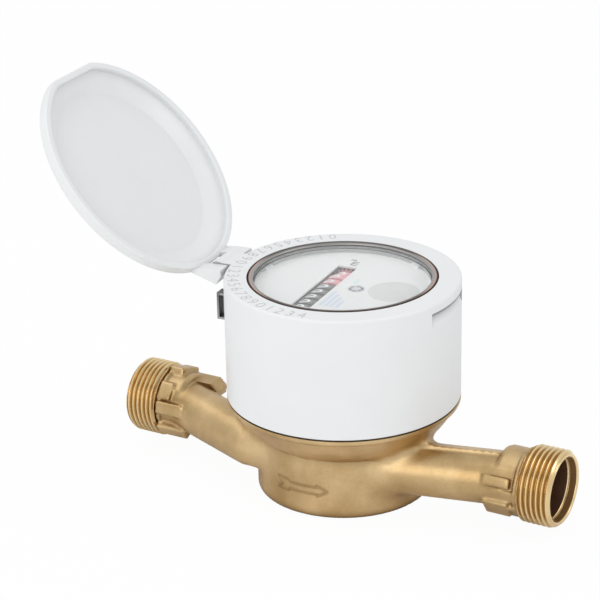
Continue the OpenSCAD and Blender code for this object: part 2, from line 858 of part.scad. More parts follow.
module housing() {
    mid = hinge_mid_w / 2;
    web = knuckle_r - 0.4;
    color("#ececec")
        difference() {
            union() {
                housing_shell();
                hinge_bar(-mid, mid, knuckle_r);
                translate([hinge_x, -mid, hinge_z - web])
                    cube([-hinge_x - housing_r + housing_wall / 2, hinge_mid_w, 2 * web]);
            }
            hinge_bar(-mid - 1, mid + 1, hinge_pin_r + 0.01);
            thumb_recess();
            for (z = [clip_top - clip_t, clip_top - clip_h])
                translate([clip_wall_x - 2, clip_y - clip_w / 2 - seat_fit, z - seat_fit])
                    cube([2 + clip_leg + 1, clip_w + 2 * seat_fit, clip_t + 2 * seat_fit]);
        }
}

// Spring-steel staple in the wall of the housing, under the hinge
module locking_clip() {
    out = clip_wall_x - clip_proud;
    reach = clip_proud + clip_leg + 0.4;
    color("#a9adb2")
        translate([out, clip_y - clip_w / 2, clip_top - clip_h]) {
            cube([clip_t, clip_w, clip_h]);
            cube([reach, clip_w, clip_t]);
            translate([0, 0, clip_h - clip_t]) cube([reach, clip_w, clip_t]);
        }
}

// The pin ends inside one cheek of the lid, so that it shows on the other side only
module hinge_pin() {
    color("#b9bcc0") hinge_bar(clear - pin_stop, hinge_w / 2, hinge_pin_r);
}

// What lies behind the flat across the lid's edge
module behind_flat(x) {
    intersection() {
        children();
        translate([x - 2 * lid_d, -lid_d, lid_low - 2]) cube([2 * lid_d, 2 * lid_d, lid_h + 4]);
    }
}

// The lid where it lies when it is shut: a dish with a sloping band round its flat middle
module lid_shut() {
    round_r = 1.2;
    shoulder = 68;
    skirt_in = lid_r - skirt_w;
    disc_r = skirt_in - lid_band_w;
    under = lid_top - lid_t;
    flat_x = sqrt(lid_r * lid_r - lid_flat_w * lid_flat_w / 4);
    mid = hinge_mid_w / 2 + clear;
    difference() {
        union() {
            behind_flat(flat_x)
                rotate_extrude()
                    polygon(concat(
                        [[0, lid_low], [lid_r - 0.3, lid_low], [lid_r, lid_low + 0.3]],
                        arc([lid_r - round_r, lid_low + skirt_h - round_r], round_r, 0, shoulder, 5),
                        [[disc_r + 1, lid_top], [0, lid_top]]
                    ));
            hinge_arm();
        }
        behind_flat(flat_x - skirt_w)
            rotate_extrude()
                polygon([
                    [0, lid_low - 1], [skirt_in, lid_low - 1], [skirt_in, lid_low + well_h],
                    [disc_r, under], [0, under]
                ]);
        hinge_bar(-pin_stop, hinge_w, hinge_pin_r + running);
        hinge_bar(-mid, mid, arm_r + clear);
    }
}

// Triangular cheeks between the edge of the lid and the hinge pin
module hinge_arm() {
    edge = -hinge_x - lid_r;
    low = lid_low - hinge_z;
    translate([hinge_x, hinge_w / 2, hinge_z])
        rotate([90, 0, 0])
            linear_extrude(hinge_w)
                polygon([
                    [0.75 - arm_r, -0.1], [edge + 2.7, low + 2.7], [edge + 8, low + 3.4],
                    [edge + 8, low + 0.2], [edge + 1.2, low + 0.2], [hinge_out - 1.8, 0.3],
                    arm_r * [cos(255), sin(255)], arm_r * [cos(233), sin(233)]
                ]);
}

module lid() {
    color("#e9ebea")
        translate([hinge_x, 0, hinge_z])
            rotate([0, -lid_open, 0])
                translate([-hinge_x, 0, -hinge_z])
                    lid_shut();
}

meter_body();
inlet_strainer();
pivot_pin();
impeller();
drive_magnet();
pressure_plate();
plate_seal();
clamp_ring();
on_head() register_can();
on_head() register_base();
on_head() follower_shaft();
on_head() follower_magnet();
on_head() gear_1();
on_head() gear_2();
on_head() gear_3();
on_head() counter_frame();
on_head() roller_shaft();
on_head() carry_shaft();
on_head() roller_1();
on_head() roller_2();
on_head() roller_3();
on_head() roller_4();
on_head() roller_5();
on_head() roller_6();
on_head() roller_7();
on_head() roller_8();
on_head() carry_1();
on_head() carry_2();
on_head() carry_3();
on_head() carry_4();
on_head() carry_5();
on_head() carry_6();
on_head() carry_7();
on_head() flow_star();
on_head() dial_plate();
on_head() glass_gasket();
on_head() register_glass();
on_head() housing();
on_head() hinge_pin();
on_head() locking_clip();
on_head() lid();
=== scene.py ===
"""Looks of a brass water meter with an open lid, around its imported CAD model."""

import json
import math

import bpy
import numpy as np
from mathutils import Matrix, Vector


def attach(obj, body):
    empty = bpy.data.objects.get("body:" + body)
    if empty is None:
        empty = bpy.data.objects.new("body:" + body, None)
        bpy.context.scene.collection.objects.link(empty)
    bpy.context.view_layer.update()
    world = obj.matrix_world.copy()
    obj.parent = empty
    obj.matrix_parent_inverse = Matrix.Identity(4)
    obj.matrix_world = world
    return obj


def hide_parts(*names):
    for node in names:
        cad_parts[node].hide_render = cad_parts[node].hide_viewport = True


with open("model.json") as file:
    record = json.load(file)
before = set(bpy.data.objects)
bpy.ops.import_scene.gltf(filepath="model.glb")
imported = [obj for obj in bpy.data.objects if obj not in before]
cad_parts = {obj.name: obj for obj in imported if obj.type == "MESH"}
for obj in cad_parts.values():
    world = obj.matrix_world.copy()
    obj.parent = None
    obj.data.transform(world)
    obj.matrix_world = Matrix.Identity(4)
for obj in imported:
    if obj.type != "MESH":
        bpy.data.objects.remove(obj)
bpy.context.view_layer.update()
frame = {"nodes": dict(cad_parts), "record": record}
nodes = frame["nodes"]
MM = 0.001

# Sizes of the casting, in millimetres
PIPE_Z = 15.5
THREAD_X = 70.5
END_X = 82.5
THREAD_R = 13.22
THREAD_ROOT_R = 12.06
THREAD_PITCH = 1.814
THREAD_CHAMFER = 1.2
THREAD_RUNOUT = 0.9
INLET_MOUTH_R = 10.1
OUTLET_MOUTH_R = 11.0
OUTLET_SEAT_R = 10.4
MOUTH_DEPTH = 3.0
BORE_R = 9.2
BORE_END_X = 68.5
LINING_GAP = 0.02
COLLAR_X = 61.0
COLLAR_R = 10.6
LAND_R = 11.7
BOWL_R = 30.0
FOOT_R = 1.0
STEP_Z = 22.7
STEP_W = 2.0
RIM_R = 40.0
RIM_Z = 33.4
FLARE_TOP_Z = 31.3
SPIGOT_R = 36.7
SPIGOT_TOP = 36.4
INLET_START = (-67.0, 0.0)
INLET_BEND = (-28.5, -16.1)
INLET_R = (8.8, 8.5)
INLET_END = (-13.05, -17.4)
OUTLET_SKEW = math.radians(14.2)
OUTLET_R = (8.9, 8.4)
OUTLET_END_X = 20.4
PORT_R = 6.2
JET_R = 4.5

# Sizes of the register and the housing, in millimetres
HEAD_TURN = math.radians(4.5)
HOUSING_TOP = 76.2
HOUSING_R = 40.0
RECESS_TOP = 73.20
RECESS_HALF = math.radians(18.9)
CAN_R = 32.0
LIP_IN = 30.0
DIAL_TOP = 70.8
GLASS_TOP = 75.3
STAR_AT = (5.738, -1.754)
ROLLER_X = -5.0
ROLLER_Z = 62.5
ROLLER_R = 6.6
BAND_R = 7.6
FIRST_BAND_R = 6.85
ROLLER_PITCH = 4.75
ROLLER_COUNT = 8
RED_ROLLERS = 3
DIGIT_H = 4.1
DIGIT_RISE = 1.4
STACK_Y = -3.7
CARRY_GEAR_W = 1.2
STACK_HALF = ROLLER_COUNT * ROLLER_PITCH / 2
PRINT_T = 0.04

# Sizes of the lid and its hinge, in millimetres, for the lid where it lies shut
LID_R = 41.4
LID_LOW = 76.5
LID_TOP = 83.5
LID_UNDER = 81.8
LID_DISC_R = 32.1
SKIRT_W = 2.3
SKIRT_H = 3.8
WELL_H = 2.2
FLAT_X = 39.62
LID_OPEN = math.radians(130.5)
HINGE_X = -44.4
HINGE_Z = 73.7
HINGE_HALF_W = 12.0
HINGE_GAP_HALF_W = 5.8


# Node trees


class Tree:
    """The node tree of a material or a world, with short ways to add and join its nodes."""

    def __init__(self, owner):
        self.owner = owner
        owner.use_nodes = True
        self.tree = owner.node_tree
        self.tree.nodes.clear()

    def place(self):
        """The object's own coordinates."""
        return self.add("ShaderNodeTexCoord").outputs["Object"]

    def add(self, kind, **values):
        node = self.tree.nodes.new(kind)
        for key, value in values.items():
            setattr(node, key, value)
        return node

    def join(self, source, target):
        self.tree.links.new(source, target)

    def noise(self, scale, detail=3.0, roughness=0.55, stretch=None):
        node = self.add("ShaderNodeTexNoise")
        node.inputs["Scale"].default_value = scale
        node.inputs["Detail"].default_value = detail
        node.inputs["Roughness"].default_value = roughness
        place = self.place()
        if stretch:
            mapping = self.add("ShaderNodeMapping")
            mapping.inputs["Scale"].default_value = stretch
            self.join(place, mapping.inputs["Vector"])
            place = mapping.outputs["Vector"]
        self.join(place, node.inputs["Vector"])
        return node.outputs["Fac"]

    def ramp(self, source, stops):
        node = self.add("ShaderNodeValToRGB")
        while len(node.color_ramp.elements) < len(stops):
            node.color_ramp.elements.new(0.5)
        for element, (at, colour) in zip(node.color_ramp.elements, stops):
            element.position = at
            element.color = (*colour, 1.0)
        self.join(source, node.inputs["Fac"])
        return node.outputs["Color"]

    def spread(self, source, low, high):
        node = self.add("ShaderNodeMapRange")
        node.inputs["From Min"].default_value = 0.15
        node.inputs["From Max"].default_value = 0.85
        node.inputs["To Min"].default_value = low
        node.inputs["To Max"].default_value = high
        self.join(source, node.inputs["Value"])
        return node.outputs["Result"]

    def mix(self, share, first, second):
        node = self.add("ShaderNodeMix", data_type="RGBA")
        for value, number in ((share, 0), (first, 6), (second, 7)):
            socket = node.inputs[number]
            if isinstance(value, bpy.types.NodeSocket):
                self.join(value, socket)
            elif isinstance(value, tuple):
                socket.default_value = (*value, 1.0)
            else:
                socket.default_value = value
        return node.outputs[2]

    def bump(self, source, height, depth):
        node = self.add("ShaderNodeBump")
        node.inputs["Strength"].default_value = height
        node.inputs["Distance"].default_value = depth
        self.join(source, node.inputs["Height"])
        return node.outputs["Normal"]

    def openness(self, reach, depth):
        """One on open faces, less where other faces stand within the reach in millimetres."""
        node = self.add("ShaderNodeAmbientOcclusion", samples=8)
        node.inputs["Distance"].default_value = reach * MM
        power = self.add("ShaderNodeMath", operation="POWER")
        power.inputs[1].default_value = depth
        self.join(node.outputs["AO"], power.inputs[0])
        return power.outputs["Value"]

    def surface(self, colour=None, roughness=None, normal=None, **values):
        node = self.add("ShaderNodeBsdfPrincipled")
        for source, socket in ((colour, "Base Color"), (roughness, "Roughness"), (normal, "Normal")):
            if source is not None:
                self.join(source, node.inputs[socket])
        for key, value in values.items():
            node.inputs[key.replace("_", " ")].default_value = value
        return node.outputs["BSDF"]

    def finish(self, shader, output="ShaderNodeOutputMaterial"):
        self.join(shader, self.add(output).inputs["Surface"])
        return self.owner


def brass(name, dark, light, crevice_shade, rough, grain, reach=3.5, depth=1.6, metallic=1.0):
    """Brass with mottled colour, a fine grain and painted shade that darkens its crevices."""
    tree = Tree(bpy.data.materials.new(name))
    patches = tree.noise(65.0, 4.0, 0.5)
    specks = tree.noise(1100.0, 2.0)
    clean = tree.ramp(patches, ((0.32, dark), (0.68, light)))
    speckled = tree.mix(0.12, clean, tree.ramp(specks, ((0.35, dark), (0.65, light))))
    # Painted shade: near other faces the colour darkens towards the crevice colour, as if in shadow.
    colour = tree.mix(tree.openness(reach, depth), crevice_shade, speckled)
    return tree.finish(
        tree.surface(
            colour,
            tree.spread(patches, rough - 0.05, rough + 0.07),
            tree.bump(tree.noise(1900.0, 2.0), 0.5, grain * MM),
            Metallic=metallic,
        )
    )


def plastic(name, low, high, rough, grain, scale=60.0, shade=None, **values):
    """Moulded plastic with a faint drift of colour, a fine skin and, where asked for, shaded corners."""
    tree = Tree(bpy.data.materials.new(name))
    drift = tree.noise(scale, 3.0)
    colour = tree.ramp(drift, ((0.15, low), (0.85, high)))
    if shade:
        colour = tree.mix(tree.openness(3.2, 1.2), shade, colour)
    return tree.finish(
        tree.surface(
            colour,
            tree.spread(drift, rough - 0.03, rough + 0.03),
            tree.bump(tree.noise(2600.0, 2.0), 0.35, grain * MM),
            **values,
        )
    )


def steel(name, dark, light):
    """Drawn steel with fine lines along Z."""
    tree = Tree(bpy.data.materials.new(name))
    lines = tree.noise(500.0, 3.0, stretch=(1.0, 1.0, 0.08))
    return tree.finish(
        tree.surface(
            tree.ramp(lines, ((0.3, dark), (0.7, light))),
            tree.spread(lines, 0.25, 0.42),
            tree.bump(lines, 0.3, 0.05 * MM),
            Metallic=1.0,
        )
    )


def coordinates(tree):
    """X, Y and Z of a place."""
    split = tree.add("ShaderNodeSeparateXYZ")
    tree.join(tree.place(), split.inputs["Vector"])
    return split.outputs


def plan_radius(tree, at):
    """Distance of a place from the vertical axis."""
    flat = tree.add("ShaderNodeCombineXYZ")
    tree.join(at["X"], flat.inputs["X"])
    tree.join(at["Y"], flat.inputs["Y"])
    radius = tree.add("ShaderNodeVectorMath", operation="LENGTH")
    tree.join(flat.outputs["Vector"], radius.inputs[0])
    return radius.outputs["Value"]


def share_between(tree, source, low, high):
    """Zero at low, one at high, both in millimetres."""
    node = tree.add("ShaderNodeMapRange")
    node.inputs["From Min"].default_value = low * MM
    node.inputs["From Max"].default_value = high * MM
    tree.join(source, node.inputs["Value"])
    return node.outputs["Result"]


def copper(name):
    """Dark copper, painted darker towards the outer edge of the crimped lip as shade, with a painted
    highlight along the lip's crest on two sides.
    """
    tree = Tree(bpy.data.materials.new(name))
    radius = plan_radius(tree, coordinates(tree))
    umber = (0.040, 0.024, 0.017)
    brown = (0.115, 0.085, 0.068)
    salmon = (0.72, 0.40, 0.30)
    grey = (0.40, 0.39, 0.38)
    lip = share_between(tree, radius, CAN_R - 2.0, CAN_R)
    # Painted highlight: a salmon band along the crest of the lip, on the two sides picked out below.
    highlit_lip = tree.ramp(lip, ((0.0, grey), (0.50, grey), (0.58, salmon), (0.70, salmon), (0.78, umber)))
    # Painted shade: the lip grows darker towards its outer edge.
    shaded_lip = tree.ramp(lip, ((0.0, grey), (0.55, brown), (0.78, umber)))
    across = tree.add("ShaderNodeVectorMath", operation="DOT_PRODUCT")
    across.inputs[1].default_value = (0.86, 0.51, 0.0)
    tree.join(tree.place(), across.inputs[0])
    side = tree.add("ShaderNodeMath", operation="ABSOLUTE")
    tree.join(across.outputs["Value"], side.inputs[0])
    highlight_share = share_between(tree, side.outputs["Value"], 24.0, 28.5)
    stain = tree.noise(700.0, 3.0)
    colour = tree.mix(highlight_share, shaded_lip, highlit_lip)
    return tree.finish(
        tree.surface(colour, tree.spread(stain, 0.26, 0.40), tree.bump(stain, 0.2, 0.05 * MM), Metallic=0.9)
    )


def glass(name):
    """Clear glass that lets the light of the lamps through to the dial, with an opaque grey edge painted
    paler towards the dial as light.
    """
    tree = Tree(bpy.data.materials.new(name))
    smear = tree.noise(120.0, 2.0)
    at = coordinates(tree)
    radius = plan_radius(tree, at)
    edge = share_between(tree, radius, LIP_IN - 0.03, LIP_IN + 0.03)
    depth = share_between(tree, at["Z"], GLASS_TOP - 3.2, GLASS_TOP)
    # Painted light: the grey edge is paler low down, towards the dial, and darker near the top.
    low, middle, top = (0.58, 0.585, 0.58), (0.40, 0.40, 0.395), (0.33, 0.325, 0.32)
    shaded_edge = tree.ramp(depth, ((0.0, low), (0.6, middle), (1.0, top)))
    through = tree.add("ShaderNodeMath", operation="SUBTRACT")
    through.inputs[0].default_value = 1.0
    tree.join(edge, through.inputs[1])
    body = tree.add("ShaderNodeBsdfPrincipled")
    body.inputs["IOR"].default_value = 1.45
    tree.join(tree.mix(edge, (0.985, 0.995, 0.995), shaded_edge), body.inputs["Base Color"])
    tree.join(tree.spread(smear, 0.0, 0.02), body.inputs["Roughness"])
    tree.join(through.outputs["Value"], body.inputs["Transmission Weight"])
    clear = tree.add("ShaderNodeBsdfTransparent")
    path = tree.add("ShaderNodeLightPath")
    either = tree.add("ShaderNodeMixShader")
    tree.join(path.outputs["Is Shadow Ray"], either.inputs["Fac"])
    tree.join(body.outputs["BSDF"], either.inputs[1])
    tree.join(clear.outputs["BSDF"], either.inputs[2])
    return tree.finish(either.outputs["Shader"])


def gasket(name):
    """Grey rubber, paler towards the dial where light reaches it."""
    tree = Tree(bpy.data.materials.new(name))
    at = coordinates(tree)
    depth = share_between(tree, at["Z"], DIAL_TOP, GLASS_TOP)
    grain = tree.noise(900.0, 2.0)
    low, middle, top = (0.56, 0.565, 0.56), (0.38, 0.38, 0.375), (0.33, 0.325, 0.32)
    colour = tree.ramp(depth, ((0.0, low), (0.5, middle), (1.0, top)))
    return tree.finish(tree.surface(colour, tree.spread(grain, 0.6, 0.75), tree.bump(grain, 0.2, 0.05 * MM)))


# The third colour of each brass is the painted shade in its crevices and hollows.
CAST = brass("cast_brass", (0.48, 0.32, 0.145), (0.75, 0.55, 0.30), (0.20, 0.11, 0.04), 0.37, 0.10)
MARK = brass("worn_mark", (0.36, 0.23, 0.10), (0.52, 0.36, 0.18), (0.22, 0.125, 0.05), 0.45, 0.1, reach=0.5)
TURNED = brass(
    "turned_brass", (0.84, 0.61, 0.30), (0.98, 0.77, 0.45), (0.30, 0.15, 0.04), 0.24, 0.03,
    reach=1.2, depth=1.8,
)
STAINED = brass(
    "seat_stain", (0.24, 0.125, 0.045), (0.36, 0.21, 0.085), (0.2, 0.1, 0.04), 0.3, 0.05,
    reach=0.3, metallic=0.35,
)
PATINA = brass(
    "bore_patina", (0.065, 0.026, 0.011), (0.12, 0.052, 0.022), (0.05, 0.02, 0.009), 0.42, 0.1,
    reach=0.6, metallic=0.35,
)
# Grey of the painted shadow strip under the ceiling of the thumb recess.
SHADOW_GREY = plastic("painted_shadow_grey", (0.24, 0.245, 0.24), (0.31, 0.315, 0.31), 0.55, 0.02)
SHELL = plastic(
    "white_shell", (0.785, 0.79, 0.79), (0.81, 0.815, 0.815), 0.42, 0.02, shade=(0.22, 0.23, 0.23)
)
LID = plastic("white_lid", (0.78, 0.79, 0.785), (0.81, 0.82, 0.815), 0.30, 0.015, shade=(0.50, 0.51, 0.51))
DIAL = plastic("dial_white", (0.79, 0.80, 0.795), (0.82, 0.83, 0.825), 0.55, 0.015)
BLACK = plastic("roller_black", (0.085, 0.083, 0.08), (0.115, 0.112, 0.108), 0.5, 0.02)
RED = plastic("roller_red", (0.76, 0.29, 0.34), (0.82, 0.35, 0.40), 0.5, 0.02)
WHITE_INK = plastic("white_ink", (0.80, 0.80, 0.80), (0.86, 0.86, 0.86), 0.6, 0.01)
GREY_INK = plastic("grey_ink", (0.15, 0.15, 0.155), (0.22, 0.22, 0.225), 0.6, 0.01, scale=400.0)
PALE_INK = plastic("pale_ink", (0.62, 0.62, 0.61), (0.70, 0.70, 0.69), 0.6, 0.01, scale=300.0)
RIM_INK = plastic("rim_ink", (0.50, 0.50, 0.50), (0.62, 0.62, 0.62), 0.6, 0.01, scale=300.0)
BLUE_INK = plastic("blue_ink", (0.60, 0.67, 0.80), (0.68, 0.73, 0.83), 0.6, 0.01, scale=300.0)
GREEN_INK = plastic("green_ink", (0.62, 0.78, 0.72), (0.70, 0.83, 0.78), 0.6, 0.01, scale=300.0)
GREY_RUBBER = gasket("gasket_grey")
BLACK_RUBBER = plastic("seal_rubber", (0.012, 0.012, 0.013), (0.02, 0.02, 0.022), 0.75, 0.05)
GEAR = plastic("gear_plastic", (0.74, 0.72, 0.66), (0.80, 0.78, 0.72), 0.5, 0.02)
WHEEL = plastic("wheel_plastic", (0.76, 0.76, 0.73), (0.82, 0.82, 0.79), 0.5, 0.02)
STAR = plastic("star_grey", (0.52, 0.54, 0.57), (0.60, 0.62, 0.65), 0.4, 0.02)
STRAINER = plastic("strainer_plastic", (0.02, 0.021, 0.023), (0.035, 0.036, 0.04), 0.55, 0.03)
MAGNET = plastic("magnet_grey", (0.05, 0.05, 0.055), (0.08, 0.08, 0.085), 0.6, 0.05, Metallic=0.5)
STEEL = steel("drawn_steel", (0.40, 0.41, 0.43), (0.62, 0.63, 0.65))
CLIP = steel("spring_steel", (0.16, 0.16, 0.165), (0.52, 0.525, 0.53))
COPPER = copper("copper")
GLASS = glass("window_glass")

CAD_FINISH = {
    "cast_brass": CAST,
    "turned_brass": TURNED,
    "copper": COPPER,
    "white_shell": SHELL,
    "dial_white": DIAL,
    "gear_plastic": GEAR,
    "wheel_plastic": WHEEL,
    "roller_black": BLACK,
    "roller_red": RED,
    "star_grey": STAR,
    "steel": STEEL,
    "magnet": MAGNET,
    "seal_rubber": BLACK_RUBBER,
    "gasket_grey": GREY_RUBBER,
    "strainer_plastic": STRAINER,
    "window_glass": GLASS,
}


NODE_FINISH = {"lid": LID, "locking_clip": CLIP}


def dress_cad_nodes():
    """Each CAD node takes its own finish, or else the one of its material slot."""
    for part in frame["record"]["subparts"]:
        finish = NODE_FINISH.get(part["node"], CAD_FINISH[part["material_slot"]])
        nodes[part["node"]].data.materials[0] = finish


# Meshes


def add_piece(name, points, faces, material, body="meter", slot=None, sharp=40.0):
    """A piece from points in millimetres that rides on a body."""
    mesh = bpy.data.meshes.new(name)
    mesh.from_pydata([tuple(p) for p in np.asarray(points) * MM], [], [tuple(map(int, f)) for f in faces])
    mesh.materials.append(material)
    mesh.validate()
    mesh.shade_smooth()
    mesh.set_sharp_from_angle(angle=math.radians(sharp))
    piece = bpy.data.objects.new(name, mesh)
    bpy.context.scene.collection.objects.link(piece)
    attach(piece, body)
    return piece


def curve_solid(curve):
    """Points and faces of a filled curve or text, in the curve's own units."""
    holder = bpy.data.objects.new("outline", curve)
    bpy.context.scene.collection.objects.link(holder)
    graph = bpy.context.evaluated_depsgraph_get()
    mesh = bpy.data.meshes.new_from_object(holder.evaluated_get(graph))
    points = np.array([v.co[:] for v in mesh.vertices])
    faces = [tuple(p.vertices) for p in mesh.polygons]
    bpy.data.objects.remove(holder)
    bpy.data.curves.remove(curve)
    bpy.data.meshes.remove(mesh)
    return points, faces


def lettering(words, height, thick=PRINT_T, bold=0.0):
    """Points and faces of raised characters, centred on the origin."""
    curve = bpy.data.curves.new("characters", "FONT")
    curve.body = words
    curve.size = height / 0.7
    curve.offset = bold
    curve.align_x = "CENTER"
    curve.align_y = "CENTER"
    curve.extrude = thick / 2
    curve.resolution_u = 3
    return curve_solid(curve)


def plate(outlines, thick=PRINT_T, bevel=0.0):
    """Points and faces of a flat plate; outlines inside others are its holes."""
    curve = bpy.data.curves.new("plate", "CURVE")
    curve.dimensions = "2D"
    curve.fill_mode = "BOTH"
    curve.extrude = thick / 2
    curve.bevel_depth = bevel
    for outline in outlines:
        spline = curve.splines.new("POLY")
        spline.points.add(len(outline) - 1)
        for point, (u, v) in zip(spline.points, outline):
            point.co = (u, v, 0.0, 1.0)
        spline.use_cyclic_u = True
    return curve_solid(curve)


def circle(radius, centre=(0.0, 0.0), steps=64):
    turns = np.linspace(0, 2 * math.pi, steps, endpoint=False)
    return [(centre[0] + radius * math.cos(t), centre[1] + radius * math.sin(t)) for t in turns]


class Solid:
    """Points and faces that several shapes are gathered into."""

    def __init__(self):
        self.points = []
        self.faces = []

    def take(self, shape, place):
        points, faces = shape
        start = len(self.points)
        self.points.extend(place(*p) for p in points)
        self.faces.extend(tuple(i + start for i in f) for f in faces)

    def piece(self, name, material, **how):
        return add_piece(name, self.points, self.faces, material, **how)


# The casting, as a field of distances


def polygon_distance(u, v, corners):
    """Distance from a closed outline, negative inside."""
    nearest = np.full(u.shape, np.inf)
    inside = np.zeros(u.shape, bool)
    for (au, av), (bu, bv) in zip(corners, corners[1:] + corners[:1]):
        eu, ev = bu - au, bv - av
        share = np.clip(((u - au) * eu + (v - av) * ev) / (eu * eu + ev * ev), 0, 1)
        nearest = np.minimum(nearest, (u - au - eu * share) ** 2 + (v - av - ev * share) ** 2)
        if av != bv:
            crossing = ((av > v) != (bv > v)) & (u < eu * (v - av) / ev + au)
            inside ^= crossing
    return np.where(inside, -1, 1) * np.sqrt(nearest)


def blend(first, second, width):
    """Union with a fillet of about that width."""
    share = np.clip(0.5 + 0.5 * (second - first) / width, 0, 1)
    return second + (first - second) * share - width * share * (1 - share)


def carve(solid, tool, width=0.3):
    """Solid without tool, with a narrow break along the edge."""
    return -blend(-solid, tool, width)


def cone_distance(x, y, z, start, end, radii):
    """Distance from a round bar whose radius changes along its length, at the height of the pipe."""
    ax, ay = start
    ex, ey = end[0] - ax, end[1] - ay
    length = math.hypot(ex, ey)
    along = ((x - ax) * ex + (y - ay) * ey) / length
    across = ((x - ax) * ey - (y - ay) * ex) / length
    share = np.clip(along / length, 0, 1)
    radius = radii[0] + (radii[1] - radii[0]) * share
    side = np.hypot(across, z - PIPE_Z) - radius
    cap = np.maximum(-along, along - length)
    return np.where(cap > 0, np.hypot(np.maximum(side, 0), cap), np.maximum(side, cap))


def box_distance(u, v, w, centre, half, edge):
    """Distance from a box with rounded edges."""
    out = [np.abs(c - m) - (h - edge) for c, m, h in zip((u, v, w), centre, half)]
    far = np.sqrt(sum(np.maximum(o, 0) ** 2 for o in out))
    return far + np.minimum(np.maximum(np.maximum(out[0], out[1]), out[2]), 0) - edge


def x_bar_distance(x, y, z, low, high, radius, edge):
    """Distance from a round bar along X with broken edges."""
    side = np.hypot(y, z - PIPE_Z) - (radius - edge)
    end = np.abs(x - (low + high) / 2) - ((high - low) / 2 - edge)
    return np.hypot(np.maximum(side, 0), np.maximum(end, 0)) + np.minimum(np.maximum(side, end), 0) - edge


# Angle round the pipe, outer radius, width and reach along X of each lug beside the threads
LUG_IN = 8.0
OUTLET_LUGS = (
    (163.5, 12.4, 3.6, 58.0, 67.7),
    (16.5, 12.4, 3.6, 58.0, 67.7),
    (216.0, 12.5, 7.6, 58.0, 67.2),
    (324.0, 12.5, 7.6, 58.0, 67.2),
    (189.0, 11.3, 4.6, 60.5, 69.5),
    (351.0, 11.3, 4.6, 60.5, 69.5),
    (228.0, 11.6, 9.0, 64.0, 70.3),
    (312.0, 11.6, 9.0, 64.0, 70.3),
)
INLET_LUGS = (
    (170.0, 13.2, 4.6, 58.6, 69.5),
    (216.0, 13.1, 5.0, 58.6, 70.3),
    (140.0, 11.7, 6.6, 65.0, 70.3),
    (70.0, 12.5, 11.0, 64.5, 70.3),
    (10.0, 12.3, 4.6, 58.6, 69.5),
    (322.0, 12.4, 5.0, 58.6, 70.3),
)
TOP_BLOCK = (62.0, 70.4, 7.9, 11.0)


def pipe_end_distance(x, y, z):
    """Collar, top block and lugs of both ends."""
    low, high, half_w, radius = TOP_BLOCK
    out = np.abs(x)
    whole = x_bar_distance(out, y, z, COLLAR_X, THREAD_X, COLLAR_R, 0.5)
    block = np.maximum(
        x_bar_distance(out, y, z, low, high, radius, 0.5),
        np.maximum(np.abs(y) - half_w, PIPE_Z + 5.0 - z),
    )
    whole = blend(whole, block, 0.6)
    whole = blend(whole, x_bar_distance(out, y, z, THREAD_X - 1.6, THREAD_X - 0.1, LAND_R, 0.4), 0.6)
    for side, lugs in ((1, OUTLET_LUGS), (-1, INLET_LUGS)):
        for lug in lugs:
            whole = blend(whole, lug_distance(side * x, y, z, *lug), 0.7)
    return whole


def lug_distance(x, y, z, turn, outer, width, start, end):
    """Distance from one lug of an end."""
    c, s = math.cos(math.radians(turn)), math.sin(math.radians(turn))
    outward = y * c + (z - PIPE_Z) * s
    sideways = -y * s + (z - PIPE_Z) * c
    centre = ((start + end) / 2, (LUG_IN + outer) / 2, 0.0)
    half = ((end - start) / 2, (outer - LUG_IN) / 2, width / 2)
    return box_distance(x, outward, sideways, centre, half, 0.6)


OUTLET_END = (OUTLET_END_X, -(THREAD_X - OUTLET_END_X) * math.tan(OUTLET_SKEW))
JET_START = (-32.22, -14.69)


def casting_distance(p):
    """Distance of points from the surface of the casting."""
    x, y, z = p[:, 0], p[:, 1], p[:, 2]
    r = np.hypot(x, y)
    bowl_outline = [
        (-5.0, 0.0), (BOWL_R - FOOT_R, 0.0), (BOWL_R - 0.3 * FOOT_R, 0.3 * FOOT_R), (BOWL_R, FOOT_R),
        (BOWL_R, STEP_Z - 1.3), (BOWL_R + STEP_W, STEP_Z), (33.8, 24.2), (35.8, 26.7),
        (RIM_R - 1.1, FLARE_TOP_Z), (RIM_R - 0.6, RIM_Z - 1.2), (RIM_R - 0.6, RIM_Z - 0.3),
        (SPIGOT_R, RIM_Z - 0.3), (SPIGOT_R, SPIGOT_TOP), (-5.0, SPIGOT_TOP),
    ]
    solid = polygon_distance(r, z, bowl_outline)
    inlet = cone_distance(x, y, z, INLET_START, INLET_BEND, INLET_R)
    elbow = np.sqrt((x - INLET_BEND[0]) ** 2 + (y - INLET_BEND[1]) ** 2 + (z - PIPE_Z) ** 2) - INLET_R[1]
    inner_inlet = cone_distance(x, y, z, INLET_BEND, INLET_END, INLET_R[1:] * 2)
    inlet = blend(np.minimum(inlet, elbow), inner_inlet, 0.6)
    outlet = cone_distance(x, y, z, (THREAD_X, 0.0), OUTLET_END, OUTLET_R)
    solid = blend(solid, inlet, 1.6)
    solid = blend(solid, blend(outlet, ridge_distance(x, y, z), 0.5), 5.0)
    solid = blend(solid, seal_lug_distance(x, y, z), 0.4)
    solid = blend(solid, pipe_end_distance(x, y, z), 0.9)
    chamber = [
        (-5.0, 4.5), (24.0, 4.5), (24.0, 23.0), (29.5, 23.0),
        (29.5, 29.7), (34.0, 29.7), (34.0, 40.0), (-5.0, 40.0),
    ]
    solid = carve(solid, polygon_distance(r, z, chamber))
    solid = carve(solid, cone_distance(x, y, z, (-THREAD_X, 0.0), INLET_BEND, (PORT_R, PORT_R)))
    solid = carve(solid, cone_distance(x, y, z, JET_START, INLET_END, (JET_R, JET_R)))
    solid = carve(solid, cone_distance(x, y, z, (THREAD_X, 0.0), OUTLET_END, (PORT_R, PORT_R)))
    return carve(solid, x_bar_distance(np.abs(x), y, z, BORE_END_X, THREAD_X + 3, BORE_R, 0.1), 0.1)


